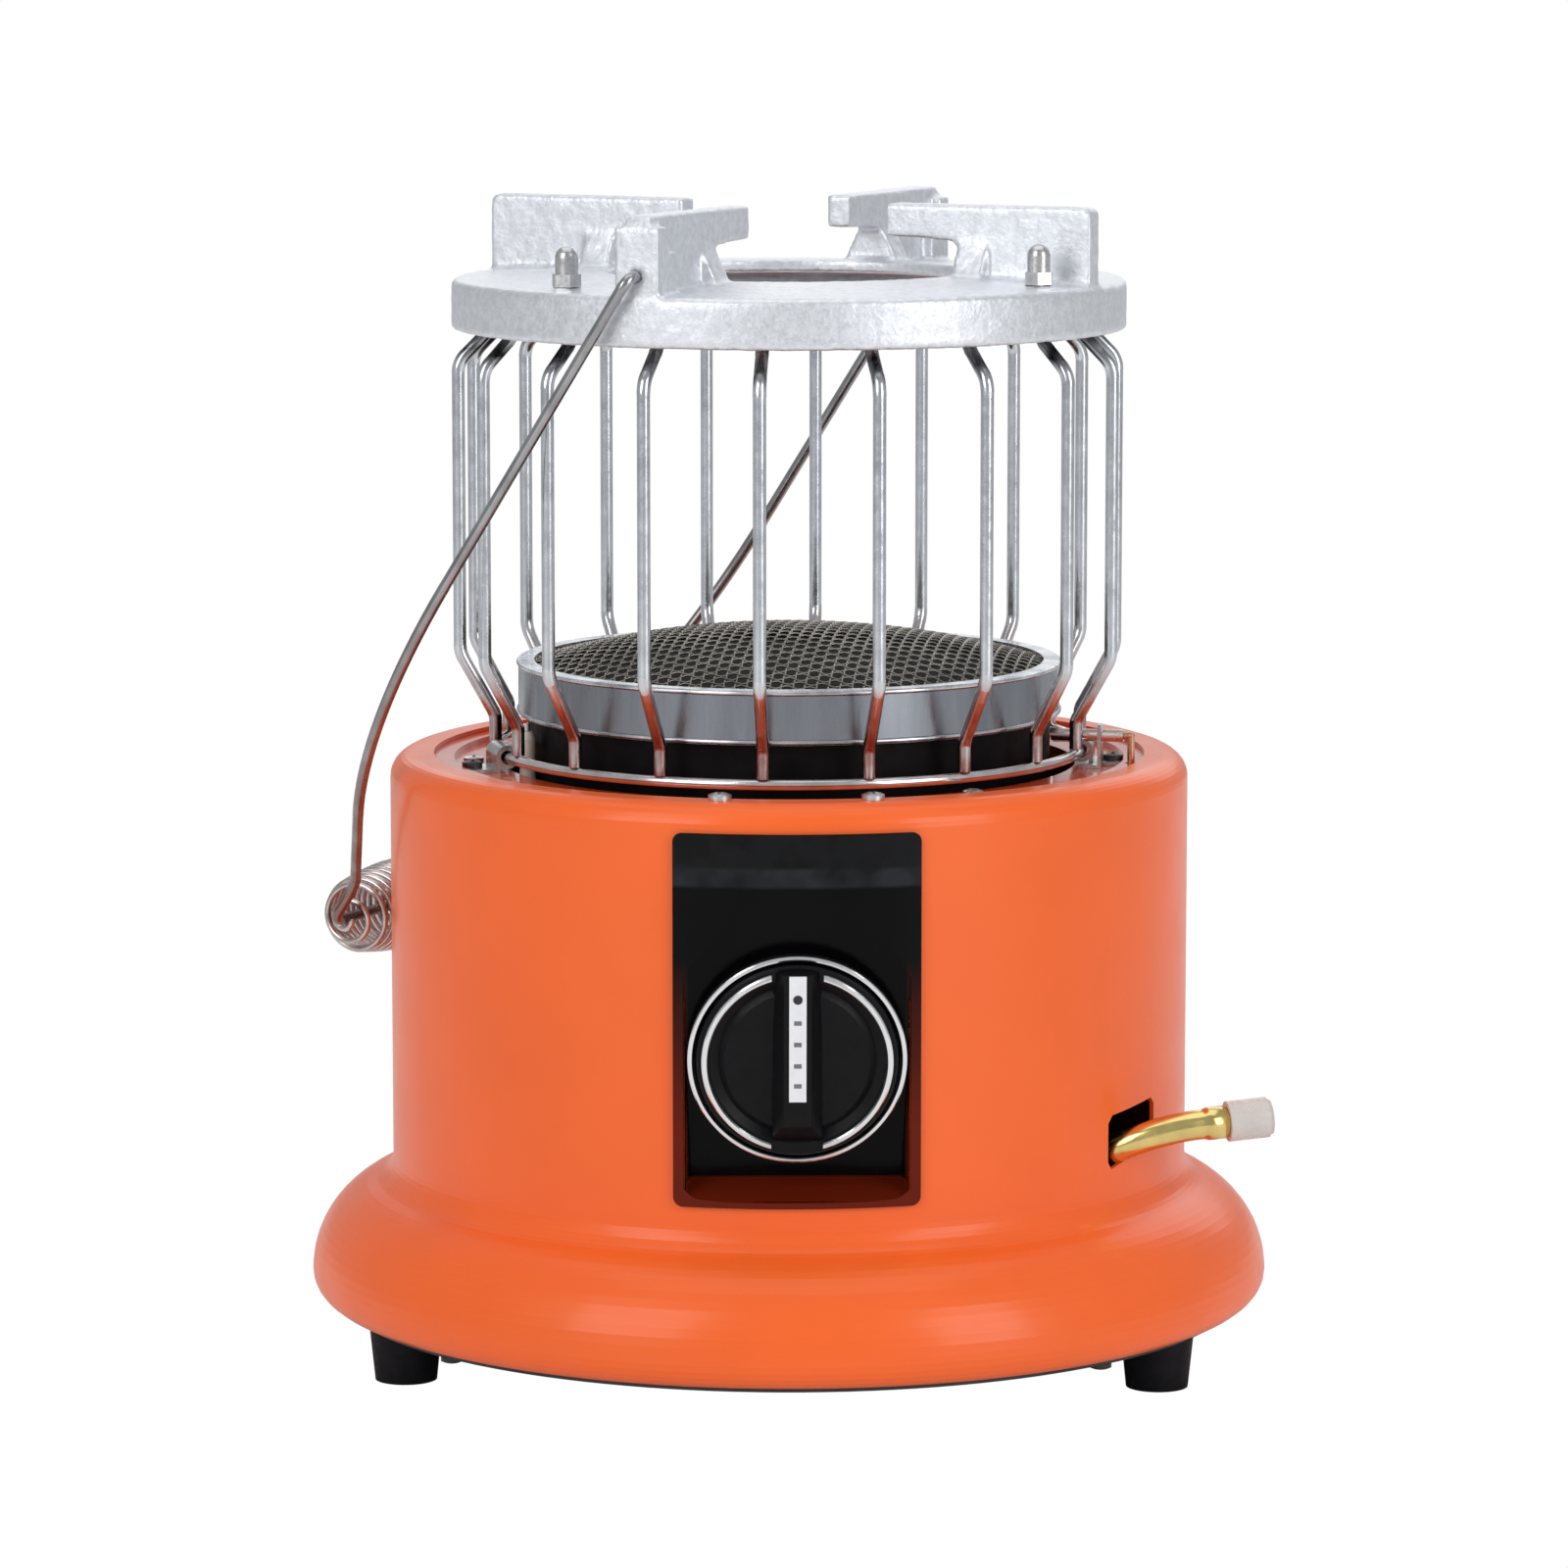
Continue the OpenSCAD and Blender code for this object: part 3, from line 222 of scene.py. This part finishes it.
# The tan ceramic plaque is coloured near black, painted shade under the wire cloth
plaque = build("plaque_ceramic", (0.012, 0.010, 0.009), 0.9, grain=0.3, grain_scale=200, bump=0.6,
               bump_scale=800, depth=0.4)
gasket = build("gasket_fibre", (0.06, 0.055, 0.05), 0.95, grain=0.2, grain_scale=500, bump=0.6)
cloth_wire = build("cloth_wire", (0.30, 0.28, 0.25), 0.26, 1.0, grain=0.35, grain_scale=60, bump=0.2,
                   bump_scale=2500)
jacket = build("wire_jacket", (0.05, 0.05, 0.05), 0.6, grain=0.2, bump=0.2)
die_cast = build("die_cast", (0.6, 0.6, 0.61), 0.45, 0.9, grain=0.12, grain_scale=260, bump=0.4,
                 depth=0.15)

finish = {
    paint: "housing_shell", deck_paint: "top_deck", black_cup: "burner_cup",
    plate_black: "base_plate base_screws", gloss_black: "control_bezel", knob_black: "knob_body",
    knob_chrome: "dial_ring knob_trim_ring", wire_chrome: "guard_wires",
    ring_chrome: "guard_base_ring guard_top_ring", bail_chrome: "bail_wire",
    coil_chrome: "grip_coil knob_return_spring",
    zinc: "deck_screws foot_screws foot_nuts valve_bracket bracket_screws valve_screws "
          "knob_spindle electrode_bracket thermocouple_bracket mixing_tube burner_brackets "
          "burner_bracket_screws guard_studs acorn_nuts igniter_pin",
    clip_steel: "guard_clip_left guard_clip_right guard_clip_rear", dark_screw: "guard_clip_screws",
    rim_steel: "burner_rim", cast: "pan_support",
    rubber: "foot_front_left foot_front_right foot_rear_left foot_rear_right",
    brass: "valve_cover valve_plug inlet_nut inlet_pipe hose_nozzle injector_jet",
    copper: "thermocouple_lead", white_plastic: "knob_pointer", soft_cap: "nozzle_cap",
    ceramic: "igniter_ceramic piezo_igniter", sensor: "thermocouple", plaque: "ceramic_plaque",
    gasket: "plaque_gasket", cloth_wire: "burner_mesh", jacket: "ignition_wire",
    die_cast: "gas_valve_body",
}
for material, names in finish.items():
    for name in names.split():
        nodes[name].data.materials.clear()
        nodes[name].data.materials.append(material)
unpainted = set(nodes) - set(" ".join(finish.values()).split())
assert not unpainted, unpainted


# ---------------------------------------------------------------- helpers for pieces
def add(name, data):
    """A new object in the scene."""
    o = bpy.data.objects.new(name, data)
    bpy.context.scene.collection.objects.link(o)
    return o


def mesh_from(name, bm):
    mesh = bpy.data.meshes.new(name)
    bm.to_mesh(mesh)
    bm.free()
    return mesh


def piece(name, mesh, material, body, smooth=True):
    """An object from a mesh in the frame's own coordinates, riding on a CAD body."""
    mesh.materials.clear()
    mesh.materials.append(material)
    mesh.polygons.foreach_set("use_smooth", [smooth] * len(mesh.polygons))
    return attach(add(name, mesh), body)


def round_about(centre, side, other, r, turns):
    """The point r from the centre, that many turns from side towards other."""
    angle = 2 * math.pi * turns
    return centre + r * (math.cos(angle) * side + math.sin(angle) * other)


def add_tube(bm, path, radii, sides):
    """A closed tube in bm along a path, with a radius for each of its points."""
    rings = []
    last = len(path) - 1
    side = None
    for i, (point, radius) in enumerate(zip(path, radii)):
        way = (path[min(i + 1, last)] - path[max(i - 1, 0)]).normalized()
        if side is None:
            side = way.orthogonal().normalized()
        side = (side - way * side.dot(way)).normalized()
        other = way.cross(side)
        rings.append([bm.verts.new(round_about(point, side, other, radius, k / sides))
                      for k in range(sides)])
    for a, b in zip(rings, rings[1:]):
        for k in range(sides):
            j = (k + 1) % sides
            bm.faces.new((a[k], a[j], b[j], b[k]))
    bm.faces.new(rings[0][::-1])
    bm.faces.new(rings[-1])


def tube_piece(name, path, radii, sides, material, body):
    bm = bmesh.new()
    add_tube(bm, path, radii, sides)
    return piece(name, mesh_from(name, bm), material, body)


def joint_line(name):
    """A joint's place and the direction of its axis."""
    joint = next(j for j in frame["joints"] if j["name"] == name)
    return Vector(joint["pos_m"]), Vector(joint["axis"]).normalized()


# ---------------------------------------------------------------- pieces
def cast_pan_support():
    """The CAD ring and fins with rounded edges and a sand-cast surface."""
    voxel, passes = 0.9 * MM, 3
    sand_size, sand_height, sand_level = 4 * MM, 0.35 * MM, 0.6
    source = add("cast_pan_support", nodes["pan_support"].data.copy())
    grid = source.modifiers.new("grid", "REMESH")
    grid.mode = "VOXEL"
    grid.voxel_size = voxel
    soften = source.modifiers.new("soften", "SMOOTH")
    soften.factor = 0.5
    soften.iterations = passes
    clouds = bpy.data.textures.new("cast_pan_support_grain", "CLOUDS")
    clouds.noise_scale = sand_size
    sand = source.modifiers.new("sand", "DISPLACE")
    sand.texture = clouds
    sand.texture_coords = "LOCAL"
    sand.strength = sand_height
    sand.mid_level = sand_level
    bpy.context.view_layer.update()
    shaped = source.evaluated_get(bpy.context.evaluated_depsgraph_get())
    mesh = bpy.data.meshes.new_from_object(shaped)
    bpy.data.objects.remove(source)
    casting = piece("cast_pan_support", mesh, cast, "heater")
    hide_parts("pan_support")


def wire_cloth():
    """Woven wire cloth: crimped wires both ways over the dome of the CAD disc."""
    pitch, wire_r, crimp = 3.1 * MM, 0.30 * MM, 0.40 * MM
    hem, disc_thick, lift = 0.9 * MM, 0.7 * MM, 0.75 * MM
    shortest, bends_per_pitch, wire_sides = 4 * MM, 4, 5
    turn = Matrix.Rotation(math.radians(-7), 3, "Z")
    low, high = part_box("burner_mesh")
    reach = high.x - hem
    rise = high.z - low.z - disc_thick
    count = int(reach / pitch)
    for way, label in enumerate(("warp", "weft")):
        bm = bmesh.new()
        for k in range(-count, count + 1):
            offset = (k + 0.5 * (way == 0)) * pitch
            half = math.sqrt(max(0, reach * reach - offset * offset))
            if half < shortest:
                continue
            steps = max(8, int(2 * half / pitch * bends_per_pitch))
            path = []
            for i in range(steps + 1):
                s = -half + 2 * half * i / steps
                flat = turn @ Vector((offset, s, 0) if way == 0 else (s, offset, 0))
                dome = rise * (1 - (flat.x ** 2 + flat.y ** 2) / (reach * reach))
                wave = crimp * math.cos(math.pi * s / pitch + math.pi * (k + way))
                path.append(Vector((flat.x, flat.y, low.z + lift + dome + wave)))
            add_tube(bm, path, [wire_r] * len(path), wire_sides)
        name = "cloth_" + label
        cloth = piece(name, mesh_from(name, bm), cloth_wire, "heater")
        if way == 0:
            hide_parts("burner_mesh")


def coil_grip():
    """Round spring wire wound on the bail's straight end, swelling towards its middle."""
    turns, steps_per_turn, wire_sides = 19, 40, 8
    half_length, wire_r, core_r, belly_r = 32.4 * MM, 0.9 * MM, 2.6 * MM, 12 * MM
    shoulder_share, shoulder_length = 0.62, 1 / 9
    centre, along = joint_line("grip_spin")
    up = along.cross(Vector((0, 0, 1))).normalized()
    over = along.cross(up)
    steps = turns * steps_per_turn
    path = []
    for i in range(steps + 1):
        u = i / steps
        s = min(1, min(u, 1 - u) / shoulder_length)
        swell = (shoulder_share * s * s * (3 - 2 * s)
                 + (1 - shoulder_share) * math.sin(math.pi * u))
        middle = centre + along * half_length * (2 * u - 1)
        path.append(round_about(middle, up, over, core_r + (belly_r - core_r) * swell, turns * u))
    coil = tube_piece("coil_grip", path, [wire_r] * len(path), wire_sides, coil_chrome, "grip")
    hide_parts("grip_coil")


def nozzle_tube():
    """Brass gas nozzle: one smooth bent tube with a swelling that holds the hose."""
    start, bend, last_bend, tip = (Vector(v) * MM for v in ((78, -61, 61.5), (92.9, -66, 69.3),
                                                            (104.5, -65, 72.2), (127.1, -61, 73.9)))
    tube_r, tail_r, tip_r = 4 * MM, 4.45 * MM, 3.95 * MM
    clearance, steps, nozzle_sides = 0.05 * MM, 12, 32
    path, radii = [start + clearance * (bend - start).normalized()], [tube_r]
    for before, corner, after, reach in ((start, bend, last_bend, 6.5 * MM),
                                         (bend, last_bend, tip, 5 * MM)):
        a = corner + (before - corner).normalized() * reach
        b = corner + (after - corner).normalized() * reach
        for k in range(steps + 1):
            u = k / steps
            path.append(a.lerp(corner, u).lerp(corner.lerp(b, u), u))
            radii.append(tube_r)
    straight = (tip - last_bend).normalized()
    for distance, r in ((5.4, tube_r), (6.0, 4.12 * MM), (6.8, 4.42 * MM), (7.4, tail_r),
                        (11.4, tail_r), (11.8, tip_r), (22.95, tip_r)):
        path.append(last_bend + straight * distance * MM)
        radii.append(r)
    nozzle = tube_piece("nozzle_tube", path, radii, nozzle_sides, brass, "heater")
    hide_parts("hose_nozzle")


def return_spring():
    """Spring between the valve's neck and the knob, made at one length, though the real one shortens as the
    knob is pushed.
    """
    low, high, coil_r, wire_r = -4.35 * MM, 3.95 * MM, 6.1 * MM, 0.5 * MM
    turns, steps_per_turn, wire_sides = 4, 24, 8
    centre, along = joint_line("knob_turn")
    up = along.orthogonal().normalized()
    over = along.cross(up)
    steps = turns * steps_per_turn
    path = [round_about(centre + along * (low + (high - low) * i / steps), up, over, coil_r,
                        i / steps_per_turn) for i in range(steps + 1)]
    spring = tube_piece("return_spring", path, [wire_r] * len(path), wire_sides, zinc, "heater")
    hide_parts("knob_return_spring")
    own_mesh(spring)


def pointer_front():
    """The knob's turning axis at the panel, then the slanting front of its grip bar."""
    panel = Matrix.Translation((0, -103.5 * MM, 100 * MM)) @ Matrix.Rotation(math.radians(100), 4, "X")
    bar = Matrix.Translation((0, 25.2 * MM, 10.8 * MM)) @ Matrix.Rotation(math.radians(-4), 4, "X")
    return panel @ bar


def mark(name, outline, material):
    """A thin flat print of the given outline, in mm on the pointer's front."""
    back_z, front_z = 0.22, 0.29
    front = pointer_front()
    bm = bmesh.new()
    back, face = [[bm.verts.new(front @ (Vector((x, y, z)) * MM)) for x, y in outline]
                  for z in (back_z, front_z)]
    bm.faces.new(face)
    bm.faces.new(back[::-1])
    for k in range(len(outline)):
        j = (k + 1) % len(outline)
        bm.faces.new((back[k], back[j], face[j], face[k]))
    piece(name, mesh_from(name, bm), material, "knob", smooth=False)


def pointer_marks():
    """Generic marks on the pointer: a dot and four short dashes."""
    dot_y, dot_r, dot_sides = -6.7, 1.25, 24
    half_width, half_height = 1, 0.6
    angles = [2 * math.pi * k / dot_sides for k in range(dot_sides)]
    mark("pointer_dot", [(dot_r * math.cos(a), dot_y + dot_r * math.sin(a)) for a in angles], ink)
    for k, y in enumerate((-13, -18.8, -24.6, -30)):
        mark(f"pointer_dash_{k}", [(-half_width, y - half_height), (half_width, y - half_height),
                                   (half_width, y + half_height), (-half_width, y + half_height)],
             grey_ink)


cast_pan_support()
wire_cloth()
coil_grip()
nozzle_tube()
return_spring()
pointer_marks()


# ---------------------------------------------------------------- stage
def aimed(o, place, target):
    """The object at a place, looking at the target."""
    o.location = place
    o.rotation_euler = (Vector(target) - Vector(place)).to_track_quat("-Z", "Y").to_euler()
    return o


def area_light(name, place, target, size, power):
    light = bpy.data.lights.new(name, "AREA")
    light.shape = "RECTANGLE"
    light.size, light.size_y = size
    light.energy = power
    aimed(add(name, light), place, target)


def pale_floor():
    """A wide floor that gives its bounce light, and that the white background hides from the camera."""
    half = 3
    bm = bmesh.new()
    bm.faces.new([bm.verts.new((x * half, y * half, 0)) for x, y in ((-1, -1), (1, -1), (1, 1), (-1, 1))])
    mesh = mesh_from("floor", bm)
    mesh.materials.append(build("pale_floor", (0.93, 0.93, 0.93), 0.6, grain=0.01, grain_scale=5,
                                bump=0.0))
    floor = add("floor", mesh)
    floor.visible_camera = False


def studio_world():
    """A dim pale surround for light and reflections, seen as white by the camera."""
    world = bpy.data.worlds.new("studio")
    bpy.context.scene.world = world
    world.use_nodes = True
    tree = world.node_tree
    dim = tree.nodes["Background"]
    dim.inputs["Color"].default_value = (0.96, 0.98, 1, 1)
    dim.inputs["Strength"].default_value = 0.43
    white = tree.nodes.new("ShaderNodeBackground")
    white.inputs["Color"].default_value = (1, 1, 1, 1)
    either = tree.nodes.new("ShaderNodeMixShader")
    tree.links.new(tree.nodes.new("ShaderNodeLightPath").outputs["Is Camera Ray"], either.inputs[0])
    tree.links.new(dim.outputs[0], either.inputs[1])
    tree.links.new(white.outputs[0], either.inputs[2])
    tree.links.new(either.outputs[0], tree.nodes["World Output"].inputs[0])


def studio_camera():
    """A long lens a little above the burner, turned so that the panel faces just right of it."""
    bearing, pitch_down, distance = math.radians(1.1), math.radians(8.0), 1.8
    left_shift, aim_z = 1.36 * MM, 156.3 * MM
    aim = Vector((-left_shift * math.cos(bearing), left_shift * math.sin(bearing), aim_z))
    camera = add("camera", bpy.data.cameras.new("camera"))
    camera.data.lens = 149.47
    camera.data.sensor_width = 36
    aimed(camera, aim + distance * Vector((-math.cos(pitch_down) * math.sin(bearing),
                                           -math.cos(pitch_down) * math.cos(bearing),
                                           math.sin(pitch_down))), aim)
    bpy.context.scene.camera = camera


area_light("key", (-1.1, -1.3, 1.0), (0, 0, 0.12), (0.9, 1.2), 10.3)
area_light("fill", (1.2, -1.2, 0.7), (0, 0, 0.12), (0.7, 1.2), 8.6)
area_light("top", (0, 0.1, 1.5), (0, 0, 0), (1.4, 1.4), 5)
area_light("back", (0.3, 1.5, 0.9), (0, 0, 0.2), (1.8, 1.0), 5)
pale_floor()
studio_world()
studio_camera()
bpy.context.scene.view_settings.view_transform = "Standard"
